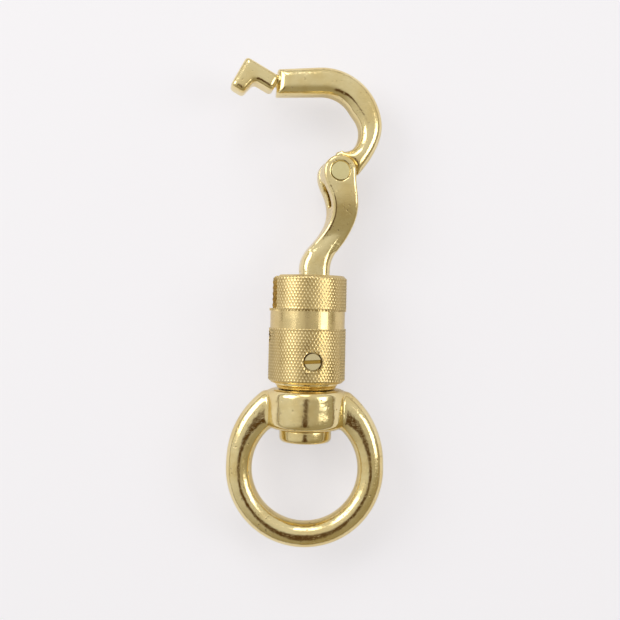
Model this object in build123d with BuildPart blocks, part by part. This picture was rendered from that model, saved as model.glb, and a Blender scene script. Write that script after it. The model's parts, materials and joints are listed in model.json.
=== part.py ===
# Panic snap: a swivel eye, a turning body with an S-shaped arm, a hook hinged at the end of the
# arm, and a knurled sleeve that turns a quarter turn to lock the hook's tip inside the body.
# The snap lies on its side, unlocked, with the hook swung fully open.
# Millimetres. The origin is the centre of the eye's opening, Y runs along the swivel axis.
from build123d import *
import math
import os

os.makedirs("parts", exist_ok=True)

# ---- driving dimensions ----

pick_tolerance = 0.01           # for picking faces and edges by where they are

running_clearance = 0.06        # radial, between pieces that turn in each other
fixed_clearance = 0.02          # radial, between pieces that are held together
end_clearance = 0.1             # between flat faces that slide on each other

# eye
ring_radius = 16.4              # centre line of the ring's bar
ring_bar_width = 6.4            # in the ring's plane
ring_bar_depth = 7.0            # across the ring's plane
ring_edge_radius = 3.1
eye_flat_height = 10.0          # flat top of the opening, where the boss stands
opening_corner_radius = 2.2
shoulder_arc_radius = 22.2      # outside curve from the ring up to the boss
shoulder_arc_height = 1.5       # where that curve leaves the ring
shoulder_drop = 0.5             # shoulders end this far below the boss's face
boss_radius = 9.9
boss_top = 19.8
boss_top_edge = 1.4
boss_bottom_edge = 2.0

# swivel pin
swivel_shank_radius = 4.0
swivel_head_radius = 6.45
swivel_head_height = 3.2
swivel_head_edge = 1.1
swivel_shank_depth = 9.0        # how far the shank goes into the body
swivel_shank_chamfer = 0.5

# body: barrel
body_roll = 9.0                 # how far the upper half has turned about the swivel axis
barrel_radius = 7.85
barrel_bottom = 20.7
barrel_top = 47.0
barrel_edge = 0.4
thrust_collar_radius = 7.3
latch_pocket_bottom = 39.6
latch_pocket_roof = 45.6
latch_clearance = 0.4           # around the hook's nose in its pocket

# body: arm and clevis
arm_depth = 7.4
arm_top = 67.0                  # the rounded bar ends inside the clevis
arm_foot_inset = 1.5            # how far the arm's foot starts inside the barrel
ear_edge_radius = 0.6
arm_edge_radius = 2.4
hinge_x = 6.5
hinge_y = 73.7
ear_radius = 4.0
clevis_depth = 12.0
tongue_thickness = 4.4
clevis_slot_bottom = 65.4
flare_bottom = 54.0             # where the arm starts to widen towards the ears
flare_top = 69.0
flare_inner_depth = 6.4         # the flare starts inside the arm
arm_left_edge = [(-2.3, 49.3), (1.0, 56.2), (5.0, 64.0), (4.2, 68.4)]
arm_right_edge = [(5.1, 49.3), (8.1, 56.1), (11.2, 63.8)]
hinge_pin_radius = 2.3
hinge_pin_rim = 0.15            # how far the riveted ends stand out of the ears

# hook, drawn closed and then swung open
hook_swing = 118.0
hook_depth = 6.7
hook_edge_radius = 2.4
bow_x = -1.9
bow_y = 65.2
bow_inner_radius = 7.9
bow_outer_radius = 14.8
bow_start_angle = 214.0         # where the straight end of the rod meets the bow
bow_end_angle = 125.0
bow_crown_angle = 165.0         # on the round of the bow, between those two
bow_inner_end_angle = 150.0     # where the inside stops being round
bow_thinning = [(8.5, 132), (9.2, 113), (9.1, 85)]      # inside from there: radius and angle
hook_back = (-1.9, 79.3)        # outside, above the bow's centre
hook_spur = (4.2, 78.5)         # corners beside the hinge, where the rod ends
hook_spur_tangent = (1, -0.2)
hook_heel = (1.9, 70.9)
hook_heel_tangent = (0.5, -0.87)
web_inset = 1.0                 # tongue's corners, inside the rod
tongue_inset = 0.1              # tongue's rounding against the ears'
rod_end_outer = (-8.4, 48.4)    # corners of the rod's end above the sleeve
rod_end_inner = (-2.5, 51.2)
shoulder_radius = 4.6           # hollow beside the tongue, around the ears
neck_width = 4.4
neck_depth = 6.2
neck_outer_x = -6.9
nose_end_x = 1.5
nose_bottom = 40.3
nose_thickness = 4.2
nose_edge_radius = 1.4
nose_corner_radius = 0.9
nose_taper = 0.5                # nose thins by this towards its end and thickens at its root
tip_root = 1.4                  # how far the neck runs into the rod's end

# sleeve
sleeve_radius = 9.63
sleeve_bottom = 21.5
sleeve_top = 48.0
sleeve_edge = 0.8
band_bottom = 34.9
band_top = 39.2
band_depth = 0.35
notch_width = 9.0
notch_depth = 8.2
sleeve_turn = 90.0

# guide screw
screw_radius = 2.05
screw_hole_radius = 2.35
screw_height = 27.1
screw_slot_width = 0.9
screw_slot_depth = 0.8
screw_slot_tilt = 3.0
screw_sink = 0.1                # head's depth below the crest of the sleeve
dog_radius = 1.25
groove_depth = 1.4

# detent
detent_height = 32.75
detent_hole_radius = 1.55
ball_radius = 1.8
spring_seat = 2.2               # spring's inner end, from the barrel's axis
ball_sink = 0.05                # how far the pressed ball lies inside the barrel's face
spring_wire_radius = 0.22
spring_radius = 1.3
spring_turns = 4
spring_end_gap = 0.3            # from the wire's centre to the seat or the ball

# ---- what follows from them ----

hole_radius = ring_radius - ring_bar_width / 2
eye_outer_radius = ring_radius + ring_bar_width / 2
bore_overrun = 2.0              # cuts run past the faces that they open through
bore_radius = barrel_radius + running_clearance
notch_bottom = sleeve_top - notch_depth

roll = math.radians(body_roll)
body_x = Vector(math.cos(roll), 0, -math.sin(roll))
body_z = Vector(math.sin(roll), 0, math.cos(roll))
body_plane = Plane(origin=(0, 0, 0), x_dir=body_x, z_dir=body_z)
side_plane = Plane(origin=(0, 0, 0), x_dir=(0, 1, 0), z_dir=body_x)


def level(height):
    """Plane square to the swivel axis, at a height along it."""
    return Plane(origin=(0, height, 0), x_dir=body_x, z_dir=(0, 1, 0))


def radial(height, direction):
    """Plane on the swivel axis that faces outwards in a direction."""
    return Plane(origin=(0, height, 0), x_dir=(0, 1, 0), z_dir=direction)


# ---- swivel eye: ring, shoulders and boss, one casting ----

shoulder_centre_x = eye_outer_radius - shoulder_arc_radius
shoulder_top = boss_top - shoulder_drop
shoulder_top_x = shoulder_centre_x + math.sqrt(
    shoulder_arc_radius**2 - (shoulder_top - shoulder_arc_height) ** 2
)

with BuildPart() as swivel_eye:
    with BuildSketch(Plane.XY.offset(-ring_bar_depth / 2)) as eye_outline:
        with BuildLine():
            RadiusArc(
                (eye_outer_radius, shoulder_arc_height),
                (shoulder_top_x, shoulder_top),
                -shoulder_arc_radius,
            )
            Line((shoulder_top_x, shoulder_top), (-shoulder_top_x, shoulder_top))
            RadiusArc(
                (-shoulder_top_x, shoulder_top),
                (-eye_outer_radius, shoulder_arc_height),
                -shoulder_arc_radius,
            )
            ThreePointArc(
                (-eye_outer_radius, shoulder_arc_height),
                (0, -eye_outer_radius),
                (eye_outer_radius, shoulder_arc_height),
            )
        make_face()
        with BuildSketch(mode=Mode.PRIVATE) as opening:
            Circle(hole_radius)
            with Locations((0, eye_flat_height)):
                Rectangle(
                    2 * hole_radius, hole_radius, align=(Align.CENTER, Align.MIN), mode=Mode.SUBTRACT
                )
            fillet(opening.vertices(), radius=opening_corner_radius)
        add(opening.sketch, mode=Mode.SUBTRACT)
        fillet(eye_outline.vertices().group_by(Axis.Y)[-1], radius=boss_top_edge)
    extrude(amount=ring_bar_depth)
    outlines = swivel_eye.faces().filter_by(Axis.Z).edges()
    fillet(outlines, radius=ring_edge_radius)
    with BuildSketch(Plane.XY) as boss_half:
        with Locations((0, eye_flat_height)):
            Rectangle(boss_radius, boss_top - eye_flat_height, align=(Align.MIN, Align.MIN))
        fillet(boss_half.vertices().group_by(Axis.X)[-1].sort_by(Axis.Y)[0], radius=boss_bottom_edge)
        fillet(boss_half.vertices().group_by(Axis.X)[-1].sort_by(Axis.Y)[-1], radius=boss_top_edge)
    revolve(axis=Axis.Y)
    with BuildSketch(level(eye_flat_height - bore_overrun)):
        Circle(swivel_shank_radius + running_clearance)
    extrude(amount=boss_top - eye_flat_height + 2 * bore_overrun, mode=Mode.SUBTRACT)

swivel_eye.part.label = "swivel_eye"
export_step(swivel_eye.part, "parts/swivel_eye.step")


# ---- swivel pin: button head under the boss, shank through it into the body ----

head_top = eye_flat_height - end_clearance

with BuildPart() as swivel_pin:
    with BuildSketch(level(head_top - swivel_head_height)):
        Circle(swivel_head_radius)
    extrude(amount=swivel_head_height)
    fillet(swivel_pin.edges().group_by(Axis.Y)[0], radius=swivel_head_edge)
    with BuildSketch(level(head_top)):
        Circle(swivel_shank_radius)
    extrude(amount=barrel_bottom + swivel_shank_depth - head_top)
    chamfer(swivel_pin.edges().group_by(Axis.Y)[-1], length=swivel_shank_chamfer)

swivel_pin.part.label = "swivel_pin"
export_step(swivel_pin.part, "parts/swivel_pin.step")


# ---- body: barrel, S-shaped arm and clevis ears, one casting ----

arm_foot_height = barrel_top - arm_foot_inset
ear_left_x = hinge_x - ear_radius
ear_right_x = hinge_x + ear_radius
arm_left_foot = (arm_left_edge[0][0], arm_foot_height)
arm_right_foot = (arm_right_edge[0][0], arm_foot_height)

# outline of the arm and its rounded end, seen from the front
with BuildSketch() as arm_outline:
    with BuildLine():
        Polyline(arm_left_edge[0], arm_left_foot, arm_right_foot, arm_right_edge[0])
        Spline(*arm_right_edge, (ear_right_x, hinge_y), tangents=((0, 1), (0, 1)))
        ThreePointArc((ear_right_x, hinge_y), (hinge_x, hinge_y + ear_radius), (ear_left_x, hinge_y))
        Spline((ear_left_x, hinge_y), *reversed(arm_left_edge), tangents=((0, -1), (0, -1)))
    make_face()

# rounded bar of the arm, up to where the clevis takes over
with BuildPart() as arm:
    with BuildSketch(body_plane.offset(-arm_depth / 2)):
        add(arm_outline.sketch)
        with Locations((hinge_x, arm_top)):
            Rectangle(
                2 * clevis_depth, clevis_depth, align=(Align.CENTER, Align.MIN), mode=Mode.SUBTRACT
            )
    extrude(amount=arm_depth)
    bar_edges = arm.edges().filter_by(
        lambda edge: abs(body_plane.to_local_coords(edge.center()).Z) > arm_depth / 2 - pick_tolerance
        and arm_foot_height + pick_tolerance < edge.center().Y < arm_top - pick_tolerance
    )
    fillet(bar_edges, radius=arm_edge_radius)

with BuildPart() as body:
    # clevis block: the same outline, flaring from the arm's depth to the ears'
    with BuildSketch(body_plane.offset(-clevis_depth / 2)):
        add(arm_outline.sketch)
    extrude(amount=clevis_depth)
    with BuildSketch(side_plane.offset(-clevis_depth)) as clevis_side:
        with BuildLine():
            for side in (-1, 1):
                Spline(
                    (flare_bottom, side * flare_inner_depth / 2),
                    (flare_top, side * clevis_depth / 2),
                    tangents=((1, 0), (1, 0)),
                )
                Line(
                    (flare_top, side * clevis_depth / 2),
                    (hinge_y + clevis_depth, side * clevis_depth / 2),
                )
            for end, depth in ((flare_bottom, flare_inner_depth), (hinge_y + clevis_depth, clevis_depth)):
                Line((end, -depth / 2), (end, depth / 2))
        make_face()
    extrude(amount=3 * clevis_depth, mode=Mode.INTERSECT)
    ear_edges = body.edges().filter_by(
        lambda edge: abs(body_plane.to_local_coords(edge.center()).Z) > flare_inner_depth / 2 + pick_tolerance
        and edge.center().Y > flare_bottom
    )
    fillet(ear_edges, radius=ear_edge_radius)
    add(arm.part)
    # barrel, standing on its narrower thrust collar
    with BuildSketch(level(barrel_bottom)):
        Circle(barrel_radius)
    extrude(amount=barrel_top - barrel_bottom)
    barrel_rims = body.edges().filter_by(GeomType.CIRCLE).filter_by(
        lambda edge: abs(edge.radius - barrel_radius) < pick_tolerance
    )
    fillet(barrel_rims, radius=barrel_edge)
    with BuildSketch(level(boss_top + end_clearance)):
        Circle(thrust_collar_radius)
    extrude(amount=barrel_bottom - boss_top)
    # slot between the ears for the hook's tongue
    with BuildSketch(body_plane.offset(-tongue_thickness / 2 - end_clearance)):
        with Locations((hinge_x, clevis_slot_bottom)):
            Rectangle(2 * clevis_depth, clevis_depth * 2, align=(Align.CENTER, Align.MIN))
    extrude(amount=tongue_thickness + 2 * end_clearance, mode=Mode.SUBTRACT)
    with BuildSketch(body_plane.offset(-clevis_depth)):
        with Locations((hinge_x, hinge_y)):
            Circle(hinge_pin_radius + fixed_clearance)
    extrude(amount=2 * clevis_depth, mode=Mode.SUBTRACT)
    # pocket that takes the hook's nose, open to the side and roofed by the arm's foot
    with BuildSketch(body_plane.offset(-neck_depth / 2 - latch_clearance)):
        with Locations((nose_end_x + latch_clearance, latch_pocket_bottom)):
            Rectangle(
                2 * barrel_radius,
                latch_pocket_roof - latch_pocket_bottom,
                align=(Align.MAX, Align.MIN),
            )
        with Locations((neck_outer_x + neck_width + latch_clearance, latch_pocket_bottom)):
            Rectangle(
                2 * barrel_radius,
                barrel_top - latch_pocket_bottom + bore_overrun,
                align=(Align.MAX, Align.MIN),
            )
    extrude(amount=neck_depth + 2 * latch_clearance, mode=Mode.SUBTRACT)
    # blind bore for the swivel pin's shank
    with BuildSketch(level(boss_top)):
        Circle(swivel_shank_radius + fixed_clearance)
    extrude(amount=barrel_bottom - boss_top + swivel_shank_depth + end_clearance, mode=Mode.SUBTRACT)
    # blind bore for the detent's spring and ball
    with BuildSketch(radial(detent_height, -body_x).offset(spring_seat)):
        Circle(ball_radius + running_clearance)
    extrude(amount=barrel_radius, mode=Mode.SUBTRACT)
    # quarter-turn groove that the guide screw's point runs in
    with BuildSketch(body_plane.rotated((0, -90, 0))):
        with Locations((barrel_radius - groove_depth, screw_height)):
            Rectangle(
                groove_depth + bore_overrun,
                2 * (dog_radius + running_clearance),
                align=(Align.MIN, Align.CENTER),
            )
    revolve(axis=Axis.Y, revolution_arc=sleeve_turn, mode=Mode.SUBTRACT)
    for direction in (body_z, body_x):
        with BuildSketch(radial(screw_height, direction).offset(barrel_radius - groove_depth)):
            Circle(dog_radius + running_clearance)
        extrude(amount=groove_depth + bore_overrun, mode=Mode.SUBTRACT)

body.part.label = "body"
export_step(body.part, "parts/body.step")


# ---- hook: bowed rod with a stepped tip and a tongue at the hinge ----

hook_plane = Plane(
    body_plane.location
    * Pos(hinge_x, hinge_y)
    * Rot(0, 0, -hook_swing)
    * Pos(-hinge_x, -hinge_y)
)


rod_end_turn = math.atan2(hook_spur[1] - hook_heel[1], hook_spur[0] - hook_heel[0])
tongue_radius = ear_radius - tongue_inset
tongue_top = (
    hinge_x + tongue_radius * math.cos(rod_end_turn),
    hinge_y + tongue_radius * math.sin(rod_end_turn),
)
tongue_bottom = (2 * hinge_x - tongue_top[0], 2 * hinge_y - tongue_top[1])
web_top = (hook_spur[0] - web_inset, hook_spur[1] - web_inset)
web_bottom = (hook_heel[0] - web_inset, hook_heel[1] + web_inset)


def bow_point(radius, angle):
    """Point on the bow at a radius and an angle from its centre."""
    turn = math.radians(angle)
    return (bow_x + radius * math.cos(turn), bow_y + radius * math.sin(turn))


def bow_tangent(angle):
    """Direction of the bow's round at an angle, on its way to the hinge."""
    turn = math.radians(angle)
    return (math.sin(turn), -math.cos(turn))


# stepped tip: a neck that stands in the sleeve's notch and a nose that reaches under the arm's foot
neck_inner_x = neck_outer_x + neck_width

with BuildPart() as hook_tip:
    with BuildSketch(hook_plane.offset(-neck_depth / 2)):
        with BuildLine():
            neck_outside = Line((neck_outer_x, rod_end_outer[1] + tip_root), (neck_outer_x, nose_bottom))
            Polyline(
                neck_outside @ 1,
                (nose_end_x, nose_bottom),
                (nose_end_x, nose_bottom + nose_thickness - nose_taper),
                (neck_inner_x, nose_bottom + nose_thickness + nose_taper),
                (neck_inner_x, rod_end_inner[1] - tip_root),
                neck_outside @ 0,
            )
        make_face()
    extrude(amount=neck_depth)
    corner_edges = hook_tip.edges().filter_by(Axis(hook_plane.origin, hook_plane.z_dir))
    fillet(corner_edges, radius=nose_corner_radius)
    rim_edges = hook_tip.edges().filter_by(
        lambda edge: abs(hook_plane.to_local_coords(edge.center()).Z) > neck_depth / 2 - pick_tolerance
    )
    fillet(rim_edges, radius=nose_edge_radius)

with BuildPart() as hook:
    # rod, from the step at its tip round the bow to the hinge
    with BuildSketch(hook_plane.offset(-hook_depth / 2)):
        with BuildLine():
            Line(rod_end_outer, bow_point(bow_outer_radius, bow_start_angle))
            ThreePointArc(
                bow_point(bow_outer_radius, bow_start_angle),
                bow_point(bow_outer_radius, bow_crown_angle),
                bow_point(bow_outer_radius, bow_end_angle),
            )
            Spline(
                bow_point(bow_outer_radius, bow_end_angle),
                hook_back,
                hook_spur,
                tangents=(bow_tangent(bow_end_angle), hook_spur_tangent),
            )
            Line(hook_spur, hook_heel)
            Spline(
                bow_point(bow_inner_radius, bow_inner_end_angle),
                *[bow_point(radius, angle) for radius, angle in bow_thinning],
                hook_heel,
                tangents=(bow_tangent(bow_inner_end_angle), hook_heel_tangent),
            )
            ThreePointArc(
                bow_point(bow_inner_radius, bow_inner_end_angle),
                bow_point(bow_inner_radius, bow_crown_angle),
                bow_point(bow_inner_radius, bow_start_angle),
            )
            Polyline(bow_point(bow_inner_radius, bow_start_angle), rod_end_inner, rod_end_outer)
        make_face()
    extrude(amount=hook_depth)
    face_outlines = hook.edges().filter_by(
        lambda edge: abs(hook_plane.to_local_coords(edge.center()).Z) > hook_depth / 2 - pick_tolerance
    )
    fillet(face_outlines, radius=hook_edge_radius)
    # hollows that clear the ears on both sides of the tongue
    for side in (-1, 1):
        with BuildSketch(hook_plane.offset(side * tongue_thickness / 2)):
            with Locations((hinge_x, hinge_y)):
                Circle(shoulder_radius)
        extrude(amount=side * hook_depth, mode=Mode.SUBTRACT)
    # tongue between the ears
    with BuildSketch(hook_plane.offset(-tongue_thickness / 2)):
        with Locations((hinge_x, hinge_y)):
            Circle(tongue_radius)
        with BuildLine():
            Polyline(tongue_top, web_top, web_bottom, tongue_bottom, close=True)
        make_face()
    extrude(amount=tongue_thickness)
    with BuildSketch(hook_plane.offset(-hook_depth)):
        with Locations((hinge_x, hinge_y)):
            Circle(hinge_pin_radius + running_clearance)
    extrude(amount=2 * hook_depth, mode=Mode.SUBTRACT)
    add(hook_tip.part)

hook.part.label = "hook"
export_step(hook.part, "parts/hook.step")


# ---- hinge pin: riveted through both ears ----

with BuildPart() as hinge_pin:
    with BuildSketch(body_plane.offset(-clevis_depth / 2 - hinge_pin_rim)):
        with Locations((hinge_x, hinge_y)):
            Circle(hinge_pin_radius)
    extrude(amount=clevis_depth + 2 * hinge_pin_rim)
    chamfer(hinge_pin.edges(), length=hinge_pin_rim)

hinge_pin.part.label = "hinge_pin"
export_step(hinge_pin.part, "parts/hinge_pin.step")


# ---- sleeve: knurled outside, with the notch that lets the hook's tip in ----

with BuildPart() as sleeve:
    with BuildSketch(level(sleeve_bottom)):
        Circle(sleeve_radius)
        Circle(bore_radius, mode=Mode.SUBTRACT)
    extrude(amount=sleeve_top - sleeve_bottom)
    outer_rims = sleeve.edges().filter_by(
        lambda edge: edge.geom_type == GeomType.CIRCLE and abs(edge.radius - sleeve_radius) < pick_tolerance
    )
    chamfer(outer_rims, length=sleeve_edge)
    # plain band between the two knurled stretches
    with BuildSketch(level(band_bottom)):
        Circle(sleeve_radius + bore_overrun)
        Circle(sleeve_radius - band_depth, mode=Mode.SUBTRACT)
    extrude(amount=band_top - band_bottom, mode=Mode.SUBTRACT)
    # notch, open at the top
    with BuildSketch(radial(notch_bottom, -body_x)):
        Rectangle(notch_depth + bore_overrun, notch_width, align=(Align.MIN, Align.CENTER))
    extrude(amount=sleeve_radius + bore_overrun, mode=Mode.SUBTRACT)
    # detent holes for the open and the locked position, a quarter turn apart
    for direction in (-body_x, -body_z):
        with BuildSketch(radial(detent_height, direction)):
            Circle(detent_hole_radius)
        extrude(amount=sleeve_radius + bore_overrun, mode=Mode.SUBTRACT)
    with BuildSketch(radial(screw_height, body_z)):
        Circle(screw_hole_radius)
    extrude(amount=sleeve_radius + bore_overrun, mode=Mode.SUBTRACT)

sleeve.part.label = "sleeve"
export_step(sleeve.part, "parts/sleeve.step")


# ---- guide screw: slotted head in the sleeve, dog point in the body's groove ----

screw_face = sleeve_radius - screw_sink
screw_shoulder = barrel_radius + running_clearance
dog_tip = barrel_radius - groove_depth + end_clearance

with BuildPart() as guide_screw:
    with BuildSketch(radial(screw_height, body_z).offset(dog_tip)):
        Circle(dog_radius)
    extrude(amount=screw_shoulder - dog_tip)
    with BuildSketch(radial(screw_height, body_z).offset(screw_shoulder)):
        Circle(screw_radius)
    extrude(amount=screw_face - screw_shoulder)
    slot_plane = Plane(radial(screw_height, body_z).offset(screw_face).location * Rot(0, 0, screw_slot_tilt))
    with BuildSketch(slot_plane):
        Rectangle(screw_slot_width, 3 * screw_radius)
    extrude(amount=-screw_slot_depth, mode=Mode.SUBTRACT)

guide_screw.part.label = "guide_screw"
export_step(guide_screw.part, "parts/guide_screw.step")


# ---- detent: ball and spring in a blind bore across the barrel ----

ball_centre = barrel_radius - ball_sink - ball_radius

with BuildPart() as detent_ball:
    ball_plane = radial(detent_height, -body_x).offset(ball_centre)
    with BuildSketch(ball_plane):
        with BuildLine():
            CenterArc((0, 0), ball_radius, -90, 180)
            Line((0, ball_radius), (0, -ball_radius))
        make_face()
    revolve(axis=Axis(ball_plane.origin, ball_plane.y_dir))

detent_ball.part.label = "detent_ball"
export_step(detent_ball.part, "parts/detent_ball.step")

spring_length = ball_centre - ball_radius - spring_seat - 2 * spring_end_gap

with BuildPart() as detent_spring:
    with BuildLine():
        coil = Helix(
            pitch=spring_length / spring_turns,
            height=spring_length,
            radius=spring_radius,
            center=radial(detent_height, -body_x).offset(spring_seat + spring_end_gap).origin,
            direction=-body_x,
        )
    with BuildSketch(Plane(origin=coil @ 0, z_dir=coil % 0)):
        Circle(spring_wire_radius)
    sweep(path=coil, is_frenet=True)

detent_spring.part.label = "detent_spring"
export_step(detent_spring.part, "parts/detent_spring.step")
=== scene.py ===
import json
import math
import bmesh
import bpy
from mathutils import Matrix, Vector


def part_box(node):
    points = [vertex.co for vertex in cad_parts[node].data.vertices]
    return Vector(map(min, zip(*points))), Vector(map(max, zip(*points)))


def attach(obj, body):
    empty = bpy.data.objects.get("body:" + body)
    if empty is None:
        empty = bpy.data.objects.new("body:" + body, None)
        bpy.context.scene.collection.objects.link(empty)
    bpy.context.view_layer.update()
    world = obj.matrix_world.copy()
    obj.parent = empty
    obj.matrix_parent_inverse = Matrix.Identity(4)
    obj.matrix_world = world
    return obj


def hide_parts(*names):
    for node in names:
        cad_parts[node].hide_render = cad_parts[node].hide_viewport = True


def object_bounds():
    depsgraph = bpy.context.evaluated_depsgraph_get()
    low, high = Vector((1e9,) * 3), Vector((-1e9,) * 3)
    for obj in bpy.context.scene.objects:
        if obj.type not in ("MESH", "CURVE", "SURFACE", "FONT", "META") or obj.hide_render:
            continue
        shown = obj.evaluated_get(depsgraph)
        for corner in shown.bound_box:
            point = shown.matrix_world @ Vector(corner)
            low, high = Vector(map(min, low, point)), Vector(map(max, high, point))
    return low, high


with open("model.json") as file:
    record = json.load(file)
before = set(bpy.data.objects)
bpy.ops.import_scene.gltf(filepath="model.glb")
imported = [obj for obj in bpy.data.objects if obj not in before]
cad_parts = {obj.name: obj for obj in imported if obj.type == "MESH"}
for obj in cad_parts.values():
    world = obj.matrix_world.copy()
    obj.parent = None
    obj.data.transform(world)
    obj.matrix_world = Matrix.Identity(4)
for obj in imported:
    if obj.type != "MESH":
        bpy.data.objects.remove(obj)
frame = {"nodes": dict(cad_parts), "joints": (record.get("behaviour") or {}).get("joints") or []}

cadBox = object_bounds()
mm = 0.001
joints = {joint["name"]: joint for joint in frame["joints"]}
camera = bpy.data.objects.new("camera", bpy.data.cameras.new("camera"))


# A number in a shader: an expression on such numbers adds its Math nodes.
class Value:
    def __init__(self, tree, socket):
        self.tree = tree
        self.socket = socket

    def math(self, operation, *others):
        return self.tree.add("ShaderNodeMath", {"operation": operation}, [self, *others])

    def __add__(self, other):
        return self.math("ADD", other)

    __radd__ = __add__

    def __sub__(self, other):
        return self.math("SUBTRACT", other)

    def __rsub__(self, other):
        return self.tree.add("ShaderNodeMath", {"operation": "SUBTRACT"}, [other, self])

    def __mul__(self, other):
        return self.math("MULTIPLY", other)

    __rmul__ = __mul__

    def ramp(self, low, high, outLow=0.0, outHigh=1.0):
        settings = {"interpolation_type": "SMOOTHSTEP"}
        return self.tree.add("ShaderNodeMapRange", settings, [self, low, high, outLow, outHigh])


# The nodes of a material, a world or a geometry tree.
class Tree:
    def __init__(self, nodeTree):
        self.nodes = nodeTree.nodes
        self.links = nodeTree.links
        self.nodes.clear()

    def add(self, nodeType, settings=None, values=(), output=0):
        node = self.nodes.new(nodeType)
        for name, setting in (settings or {}).items():
            setattr(node, name, setting)
        pairs = values.items() if isinstance(values, dict) else enumerate(values)
        for key, value in pairs:
            if isinstance(value, Value):
                self.links.new(value.socket, node.inputs[key])
            else:
                node.inputs[key].default_value = value
        return Value(self, node.outputs[output] if len(node.outputs) else None)

    # A Mix node keeps its colour sockets after its number and vector ones.
    def mix(self, factor, first, second):
        return self.add("ShaderNodeMix", {"data_type": "RGBA"}, {0: factor, 6: first, 7: second}, output=2)

    def noise(self, place, perMetre, detail=2.0, roughness=0.5):
        values = {"Vector": place, "Scale": perMetre, "Detail": detail, "Roughness": roughness}
        return self.add("ShaderNodeTexNoise", {}, values)

    # Noise drawn out into lines: each direction has its own scale.
    def streaks(self, place, perMetre, detail=2.0):
        drawn = self.add("ShaderNodeVectorMath", {"operation": "MULTIPLY"}, [place, perMetre])
        return self.noise(drawn, 1.0, detail)

    def finish(self, shade, roughness, height, heightSize):
        bump = self.add("ShaderNodeBump", {}, {"Distance": heightSize, "Height": height})
        values = {"Base Color": shade, "Metallic": 1.0, "Roughness": roughness, "Normal": bump}
        surface = self.add("ShaderNodeBsdfPrincipled", {}, values)
        self.add("ShaderNodeOutputMaterial", {}, {"Surface": surface})


def newMaterial(name):
    material = bpy.data.materials.new(name)
    material.use_nodes = True
    return material, Tree(material.node_tree)


def colour(red, green, blue):
    return (red, green, blue, 1.0)


# Polished castings: bright brass with warmer clouds, pits, hairlines, and corners that are tarnished and
# also darkened as painted shade.
castBrass = {
    "bright": colour(0.90, 0.77, 0.43),
    "warm": colour(0.82, 0.65, 0.30),
    # dark brown of the tarnished pits, and of the painted shade in the corners
    "tarnishAndCornerShade": colour(0.16, 0.08, 0.02),
    "pitStain": 0.75,
    "cornerTarnishAndShade": 0.6,
    "edgeShine": 0.5,
    "polish": 0.08,             # roughness where the brass is bright
    "dull": 0.18,               # and where it has clouded over
    "relief": 0.14 * mm,        # height of the polishing waves, and the next three are shares of it
    "grain": 0.14,
    "pitDepth": 0.3,
    "hairDepth": 0.03,
    "cloudsPerMetre": 160,
    "grainPerMetre": 1500,
    "wavesPerMetre": 240,
    "pitsPerMetre": 1000,
    "pittedPlacesPerMetre": 420,
    "hairsPerMetre": (900, 9000, 900),
}


def makeCastBrass(name, look):
    material, tree = newMaterial(name)
    place = tree.add("ShaderNodeTexCoord", output="Object")
    cloud = tree.noise(place, look["cloudsPerMetre"], 4)
    grain = tree.noise(place, look["grainPerMetre"], 3, 0.6)
    wave = tree.noise(place, look["wavesPerMetre"], 2)
    spots = tree.add("ShaderNodeTexVoronoi", {}, {"Vector": place, "Scale": look["pitsPerMetre"]})
    pitted = tree.noise(place, look["pittedPlacesPerMetre"], 1).ramp(0.52, 0.60)
    pits = (1 - spots.ramp(0.10, 0.24)) * pitted
    hairs = tree.streaks(place, look["hairsPerMetre"]).ramp(0.62, 0.70)
    # Concave corners darken towards the dark brown: they are tarnished, and it is painted shade as well.
    pointiness = tree.add("ShaderNodeNewGeometry", output="Pointiness")
    corner = 1 - pointiness.ramp(0.40, 0.485)
    edge = pointiness.ramp(0.52, 0.58)
    shade = tree.mix(cloud.ramp(0.35, 0.75), look["bright"], look["warm"])
    shade = tree.mix(edge * look["edgeShine"], shade, look["bright"])
    shade = tree.mix(pits * look["pitStain"], shade, look["tarnishAndCornerShade"])
    shade = tree.mix(corner * look["cornerTarnishAndShade"], shade, look["tarnishAndCornerShade"])
    dullness = cloud.ramp(0.3, 0.8, look["polish"], look["dull"]) + grain * 0.06 + hairs * 0.08
    relief = wave + grain * look["grain"] - pits * look["pitDepth"] - hairs * look["hairDepth"]
    tree.finish(shade, dullness, relief, look["relief"])
    return material


# The knurl's grooves are painted darker than its crests, as their shade, and radius from the swivel axis
# tells them apart.
knurlBrass = {
    "crest": colour(0.93, 0.79, 0.45),
    # painted shade: the colour at the bottom of the grooves
    "groove": colour(0.60, 0.42, 0.15),
    "grooveShadeShare": 0.75,        # share of the crest's colour that height brings
    "cloudShare": 0.4,          # and that the clouds bring
    "roughness": 0.24,
    "grain": 0.006 * mm,
    "cloudsPerMetre": 220,
    "grainPerMetre": 3000,
}


def makeKnurlBrass(name, look, groove, crest):
    material, tree = newMaterial(name)
    place = tree.add("ShaderNodeTexCoord", output="Object")
    across = tree.add("ShaderNodeVectorMath", {"operation": "MULTIPLY"}, [place, (1, 0, 1)])
    radius = tree.add("ShaderNodeVectorMath", {"operation": "LENGTH"}, [across], output="Value")
    height = radius.ramp(groove, crest)
    cloud = tree.noise(place, look["cloudsPerMetre"], 3)
    grain = tree.noise(place, look["grainPerMetre"], 3, 0.6)
    # Painted shade: the deeper a point lies in the grooves, the darker it is. The clouds add random tone.
    shadeAndClouds = height * look["grooveShadeShare"] + cloud * look["cloudShare"]
    shade = tree.mix(shadeAndClouds, look["groove"], look["crest"])
    dullness = cloud.ramp(0.3, 0.7, -0.05, 0.08) + grain * 0.08 + look["roughness"]
    tree.finish(shade, dullness, grain, look["grain"])
    return material


# Turned brass keeps the fine rings that the lathe left round the swivel axis.
turnedBrass = {
    "light": colour(0.86, 0.71, 0.38),
    "dark": colour(0.66, 0.50, 0.22),
    "roughness": 0.22,
    "rings": 0.004 * mm,
    "ringsPerMetre": (120, 9000, 120),
    "cloudsPerMetre": 300,
    "grainPerMetre": 2500,
}

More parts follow.
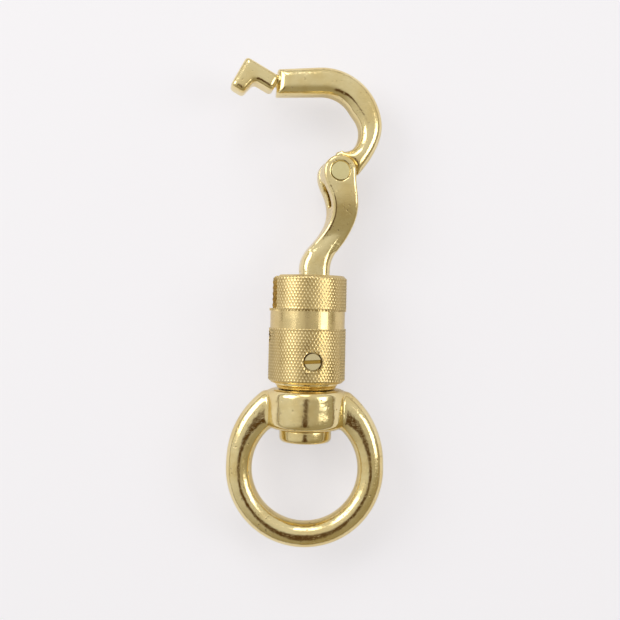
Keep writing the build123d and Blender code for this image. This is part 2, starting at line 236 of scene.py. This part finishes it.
# The hinge pin's riveted ends are the brightest faces, and show no rings.
pinBrass = {
    "light": colour(0.96, 0.88, 0.50),
    "dark": colour(0.84, 0.74, 0.38),
    "roughness": 0.16,
    "rings": 0.002 * mm,
    "ringsPerMetre": (900, 900, 900),
    "cloudsPerMetre": 300,
    "grainPerMetre": 2500,
}


def makeTurnedBrass(name, look):
    material, tree = newMaterial(name)
    place = tree.add("ShaderNodeTexCoord", output="Object")
    rings = tree.streaks(place, look["ringsPerMetre"], 3)
    cloud = tree.noise(place, look["cloudsPerMetre"], 3)
    grain = tree.noise(place, look["grainPerMetre"], 3, 0.6)
    shade = tree.mix(rings * 0.6 + cloud * 0.4, look["light"], look["dark"])
    dullness = cloud.ramp(0.3, 0.7, -0.06, 0.08) + grain * 0.08 + look["roughness"]
    tree.finish(shade, dullness, rings + grain * 0.3, look["rings"])
    return material


# The guide screw's slot and rim are painted dark, as the shade in them.
screwBrass = {
    "face": colour(0.95, 0.84, 0.52),
    "rimShade": colour(0.20, 0.11, 0.03),
    "slot": colour(0.52, 0.34, 0.07),
    "roughness": 0.14,
    "grain": 0.006 * mm,
    "grainPerMetre": 2500,
    "rim": 0.16 * mm,
    "slotDepth": 0.3 * mm,
}


# The painted shade lies by depth below the head's face and by distance from the head's own axis.
def makeScrewBrass(name, look, axis, centre, face, headRadius):
    material, tree = newMaterial(name)
    place = tree.add("ShaderNodeTexCoord", output="Object")
    offset = tree.add("ShaderNodeVectorMath", {"operation": "SUBTRACT"}, [place, tuple(centre)])
    dot = {"operation": "DOT_PRODUCT"}
    height = tree.add("ShaderNodeVectorMath", dot, [offset, tuple(axis)], output="Value")
    length = tree.add("ShaderNodeVectorMath", {"operation": "LENGTH"}, [offset], output="Value")
    radius = (length * length - height * height).math("ABSOLUTE").math("SQRT")
    rim = radius.ramp(headRadius - look["rim"], headRadius - look["rim"] / 4)
    slot = 1 - height.ramp(face - look["slotDepth"], face - look["slotDepth"] / 4)
    grain = tree.noise(place, look["grainPerMetre"], 3, 0.6)
    # Painted shade: the slot darkens with depth, and the rim darkens near the head's edge.
    shade = tree.mix(slot, look["face"], look["slot"])
    shade = tree.mix(rim, shade, look["rimShade"])
    tree.finish(shade, grain * 0.1 + slot * 0.2 + look["roughness"], grain, look["grain"])
    return material


# The guide screw points the same way as the hinge's pin.
def makeGuideScrewBrass(look):
    axis = Vector(joints["hook_hinge"]["axis"]).normalized()
    heights = [vertex.co.dot(axis) for vertex in frame["nodes"]["guide_screw"].data.vertices]
    low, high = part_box("guide_screw")
    middle = Vector((0, (low.y + high.y) / 2, 0))
    return makeScrewBrass("screwBrass", look, axis, middle, max(heights), (high.y - low.y) / 2)


# The catch's ball and spring.
steelLook = {
    "light": colour(0.66, 0.66, 0.68),
    "dark": colour(0.46, 0.46, 0.48),
    "roughness": 0.15,
    "grain": 0.003 * mm,
    "grainPerMetre": 2500,
}


def makeSteel(name, look):
    material, tree = newMaterial(name)
    place = tree.add("ShaderNodeTexCoord", output="Object")
    grain = tree.noise(place, look["grainPerMetre"], 3)
    shade = tree.mix(grain, look["light"], look["dark"])
    tree.finish(shade, grain * 0.2 + look["roughness"], grain, look["grain"])
    return material


mergeDistance = 0.0005          # in millimetres


# A copy of a CAD node's shape, in millimetres, with its doubled corners merged.
def mergedCopy(node, name):
    shape = bmesh.new()
    shape.from_mesh(frame["nodes"][node].data)
    bmesh.ops.transform(shape, matrix=Matrix.Scale(1 / mm, 4), verts=shape.verts)
    bmesh.ops.remove_doubles(shape, verts=shape.verts, dist=mergeDistance)
    return meshObject(shape, name)


def meshObject(shape, name):
    mesh = bpy.data.meshes.new(name)
    shape.to_mesh(mesh)
    shape.free()
    piece = bpy.data.objects.new(name, mesh)
    bpy.context.scene.collection.objects.link(piece)
    return piece


# The plain mesh that an object's modifiers give. The object itself goes.
def applied(source, name):
    depsgraph = bpy.context.evaluated_depsgraph_get()
    mesh = bpy.data.meshes.new_from_object(source.evaluated_get(depsgraph))
    bpy.data.objects.remove(source)
    piece = bpy.data.objects.new(name, mesh)
    bpy.context.scene.collection.objects.link(piece)
    return piece


# A finished piece goes back to metres and stands for its CAD node.
def settle(piece, node, body):
    piece.data.transform(Matrix.Scale(mm, 4))
    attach(piece, body)
    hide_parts(node)
    print("piece", piece.name, "faces", len(piece.data.polygons))


# Castings: the CAD shape with its edges softened as polishing leaves them.
castSizes = {
    "swivel_eye": {"grid": 0.21, "polish": 40},
    "swivel_pin": {"grid": 0.18, "polish": 10},
    "body": {"grid": 0.22, "polish": 16},
    "hook": {"grid": 0.16, "polish": 30},
}


def makeCasting(node, body, material):
    piece = mergedCopy(node, node + "_raw")
    skin = piece.modifiers.new("skin", "REMESH")
    skin.mode = "VOXEL"
    skin.voxel_size = castSizes[node]["grid"]
    polish = piece.modifiers.new("polish", "SMOOTH")
    polish.iterations = castSizes[node]["polish"]
    piece = applied(piece, node + "_cast")
    piece.data.materials.clear()
    piece.data.materials.append(material)
    piece.data.shade_smooth()
    settle(piece, node, body)


# The knurled sleeve. Crest radius is the CAD sleeve's own, less a hair, so that the crests stay inside it.
sleeveSizes = {
    "columns": 72,
    "diamondHeight": 1.43,
    "knurlDepth": 0.20,
    "crestShare": 0.12,
    "crestClearance": 0.02,
    "wall": 2.5,
    "overhang": 0.6,
    "sharpAngle": 20,
}


# One closed tube whose outer skin is laid out in diamonds, marked so that Geometry Nodes can raise them.
def knurlBlank(sizes, radius, low, high):
    shape = bmesh.new()
    mark = shape.faces.layers.int.new("knurled")
    columns = sizes["columns"]

    def ring(ringRadius, height, shift=0):
        angles = [2 * math.pi * (column + shift) / columns for column in range(columns)]
        return [
            shape.verts.new((ringRadius * math.cos(angle), height, ringRadius * math.sin(angle)))
            for angle in angles
        ]

    def skin(lower, upper):
        for column in range(columns):
            following = (column + 1) % columns
            shape.faces.new((lower[column], upper[column], upper[following], lower[following]))

    steps = 2 * round((high - low) / sizes["diamondHeight"])
    rows = []
    for step in range(steps + 1):
        rows.append(ring(radius, low + (high - low) * step / steps, shift=0.5 * (step % 2)))
    # A diamond stands between two neighbours of its own row and reaches to the rows above and below.
    for step, row in enumerate(rows):
        for column in range(columns):
            following = (column + 1) % columns
            tip = column if step % 2 == 0 else following
            corners = [row[column]]
            if step < steps:
                corners.append(rows[step + 1][tip])
            corners.append(row[following])
            if step > 0:
                corners.append(rows[step - 1][tip])
            shape.faces.new(corners)[mark] = 1
    inner = radius - sizes["wall"]
    innerLow = ring(inner, low)
    innerHigh = ring(inner, high)
    skin(innerLow, rows[0])
    skin(rows[-1], innerHigh)
    skin(innerHigh, innerLow)
    bmesh.ops.recalc_face_normals(shape, faces=shape.faces)
    return meshObject(shape, "knurlBlank")


# Raises each marked face and narrows its top.
def knurlTree(material):
    group = bpy.data.node_groups.new("knurl", "GeometryNodeTree")
    sockets = group.interface
    sockets.new_socket("Geometry", in_out="INPUT", socket_type="NodeSocketGeometry")
    depth = sockets.new_socket("Knurl depth", in_out="INPUT", socket_type="NodeSocketFloat")
    crest = sockets.new_socket("Crest share", in_out="INPUT", socket_type="NodeSocketFloat")
    sockets.new_socket("Geometry", in_out="OUTPUT", socket_type="NodeSocketGeometry")
    tree = Tree(group)
    entry = tree.nodes.new("NodeGroupInput")
    shape, depthValue, crestValue = [Value(tree, socket) for socket in list(entry.outputs)[:3]]
    marked = tree.add("GeometryNodeInputNamedAttribute", {"data_type": "INT"}, {"Name": "knurled"})
    raised = tree.nodes.new("GeometryNodeExtrudeMesh")
    for key, value in {"Mesh": shape, "Selection": marked, "Offset Scale": depthValue}.items():
        tree.links.new(value.socket, raised.inputs[key])
    raised.inputs["Individual"].default_value = True
    tops = Value(tree, raised.outputs["Top"])
    diamonds = Value(tree, raised.outputs["Mesh"])
    narrowing = {"Geometry": diamonds, "Selection": tops, "Scale": crestValue}
    narrowed = tree.add("GeometryNodeScaleElements", {}, narrowing)
    real = tree.add("GeometryNodeRealizeInstances", {}, [narrowed])
    painted = tree.add("GeometryNodeSetMaterial", {}, {"Geometry": real, "Material": material})
    tree.add("NodeGroupOutput", {}, [painted])
    return group, depth.identifier, crest.identifier


# The knurled tube trimmed by the CAD sleeve, so its band, ends, bore, notch and holes are the CAD's.
def makeSleeve(sizes, knurlMaterial, plainMaterial):
    low, high = [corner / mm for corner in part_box("sleeve")]
    crestRadius = (high.x - low.x) / 2 - sizes["crestClearance"]
    groove = crestRadius - sizes["knurlDepth"]
    blank = knurlBlank(sizes, groove, low.y - sizes["overhang"], high.y + sizes["overhang"])
    group, depthInput, crestInput = knurlTree(knurlMaterial)
    knurl = blank.modifiers.new("knurl", "NODES")
    knurl.node_group = group
    knurl[depthInput] = sizes["knurlDepth"]
    knurl[crestInput] = sizes["crestShare"]
    knurled = applied(blank, "knurledTube")
    piece = mergedCopy("sleeve", "sleeveTrim")
    piece.data.materials.clear()
    piece.data.materials.append(plainMaterial)
    trim = piece.modifiers.new("trim", "BOOLEAN")
    trim.operation = "INTERSECT"
    trim.solver = "EXACT"
    trim.material_mode = "TRANSFER"
    trim.object = knurled
    piece = applied(piece, "sleeve_knurled")
    bpy.data.objects.remove(knurled)
    piece.data.shade_smooth()
    piece.data.set_sharp_from_angle(angle=math.radians(sizes["sharpAngle"]))
    settle(piece, "sleeve", "sleeve")


def paintNode(node, material):
    for materialSlot in frame["nodes"][node].material_slots:
        materialSlot.material = material



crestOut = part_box("sleeve")[1].x
castMaterial = makeCastBrass("castBrass", castBrass)
crestIn = crestOut - sleeveSizes["knurlDepth"] * mm
knurlMaterial = makeKnurlBrass("knurlBrass", knurlBrass, crestIn, crestOut)
turnedMaterial = makeTurnedBrass("turnedBrass", turnedBrass)
pinMaterial = makeTurnedBrass("pinBrass", pinBrass)
screwMaterial = makeGuideScrewBrass(screwBrass)
steelMaterial = makeSteel("steel", steelLook)
print("materials made")

makeCasting("swivel_eye", "eye", castMaterial)
makeCasting("swivel_pin", "snap", castMaterial)
makeCasting("body", "snap", castMaterial)
makeCasting("hook", "hook", castMaterial)
makeSleeve(sleeveSizes, knurlMaterial, turnedMaterial)
paintNode("hinge_pin", pinMaterial)
paintNode("guide_screw", screwMaterial)
paintNode("detent_ball", steelMaterial)
paintNode("detent_spring", steelMaterial)

# A pale floor. It fills the view from above, and low views show its far edge.
floorLook = {
    "size": 3.0,
    "colour": colour(0.945, 0.935, 0.975),
    "glow": 0.55,               # share of the floor's colour that no shadow takes away
}


def makeFloor(look):
    shape = bmesh.new()
    bmesh.ops.create_grid(shape, x_segments=1, y_segments=1, size=look["size"] / 2)
    bmesh.ops.translate(shape, vec=(0, 0, cadBox[0].z), verts=shape.verts)
    floor = meshObject(shape, "floor")
    material, tree = newMaterial("floor")
    matt = tree.add("ShaderNodeBsdfDiffuse", {}, [look["colour"]])
    glow = tree.add("ShaderNodeEmission", {}, [look["colour"]])
    seen = tree.add("ShaderNodeLightPath", output="Is Camera Ray") * look["glow"]
    surface = tree.add("ShaderNodeMixShader", {}, [seen, matt, glow])
    tree.add("ShaderNodeOutputMaterial", {}, [surface])
    floor.data.materials.append(material)


# A room that is bright on the arm's side and dims towards the ring's side, with a dark brown gap
# overhead that draws the streaks on the polished brass. Directions are those of a unit vector.
room = {
    "bright": colour(0.72, 0.70, 0.66),
    "dim": colour(0.36, 0.32, 0.22),
    "dimUpTo": -0.75,
    "brightFrom": 0.25,
    "slant": 0.5,               # how far the change from dim to bright leans to the side
    "gap": colour(0.09, 0.045, 0.012),
    "gapMiddle": -0.36,
    "gapHalfLength": 0.40,
    "gapHalfWidth": 0.19,
    "gapSoftFrom": 0.75,        # the gap's edge fades between these shares of its half width
    "gapSoftTo": 1.1,
    "skirting": colour(0.20, 0.15, 0.08),
    "skirtingHeight": 0.16,
}


def makeRoom(sizes):
    world = bpy.data.worlds.new("room")
    world.use_nodes = True
    bpy.context.scene.world = world
    tree = Tree(world.node_tree)
    direction = tree.add("ShaderNodeTexCoord", output="Generated")
    side, along, height = [
        tree.add("ShaderNodeSeparateXYZ", {}, [direction], output=letter) for letter in "XYZ"
    ]
    brightness = (along - side * sizes["slant"]).ramp(sizes["dimUpTo"], sizes["brightFrom"])
    shade = tree.mix(brightness, sizes["dim"], sizes["bright"])
    # A darker band low down, all round.
    low = 1 - height.math("ABSOLUTE").ramp(0.02, sizes["skirtingHeight"])
    shade = tree.mix(low, shade, sizes["skirting"])
    across = side * (1 / sizes["gapHalfWidth"])
    ahead = (along - sizes["gapMiddle"]) * (1 / sizes["gapHalfLength"])
    distance = (across * across + ahead * ahead).math("SQRT")
    gap = (1 - distance.ramp(sizes["gapSoftFrom"], sizes["gapSoftTo"])) * height.ramp(0, 0.1)
    shade = tree.mix(gap, shade, sizes["gap"])
    surface = tree.add("ShaderNodeBackground", {}, [shade])
    tree.add("ShaderNodeOutputWorld", {}, [surface])


# Soft boxes. Radiance is how bright a box looks beside a white surface.
softBoxes = {
    "leftBox": {"place": (-0.50, 0.30, 0.45), "size": 0.42, "radiance": 2.8},
    "rightBox": {"place": (0.52, 0.10, 0.42), "size": 0.30, "radiance": 2.6},
    "topBox": {"place": (-0.05, 0.60, 0.50), "size": 0.30, "radiance": 2.4},
}


def makeSoftBox(name, box, target):
    lamp = bpy.data.lights.new(name, "AREA")
    lamp.size = box["size"]
    lamp.energy = box["radiance"] * math.pi * box["size"] ** 2
    light = bpy.data.objects.new(name, lamp)
    light.location = box["place"]
    light.rotation_mode = "QUATERNION"
    light.rotation_quaternion = (target - light.location).to_track_quat("-Z", "Y")
    bpy.context.scene.collection.objects.link(light)


# The camera looks straight down on the lying snap. Lengths are in millimetres, and the turn in degrees.
cameraSizes = {"x": 0.55, "y": 39.5, "height": 212.5, "turn": 1.2, "lens": 49.4, "nearest": 10}


def placeCamera(sizes):
    camera.location = Vector((sizes["x"], sizes["y"], sizes["height"])) * mm
    camera.rotation_euler = (0, 0, math.radians(sizes["turn"]))
    camera.data.lens = sizes["lens"]
    camera.data.clip_start = sizes["nearest"] * mm
    bpy.context.scene.collection.objects.link(camera)
    bpy.context.scene.camera = camera
    bpy.context.scene.view_settings.view_transform = "Standard"


makeFloor(floorLook)
makeRoom(room)
for boxName, boxSizes in softBoxes.items():
    makeSoftBox(boxName, boxSizes, (cadBox[0] + cadBox[1]) / 2)
placeCamera(cameraSizes)
print("stage made")
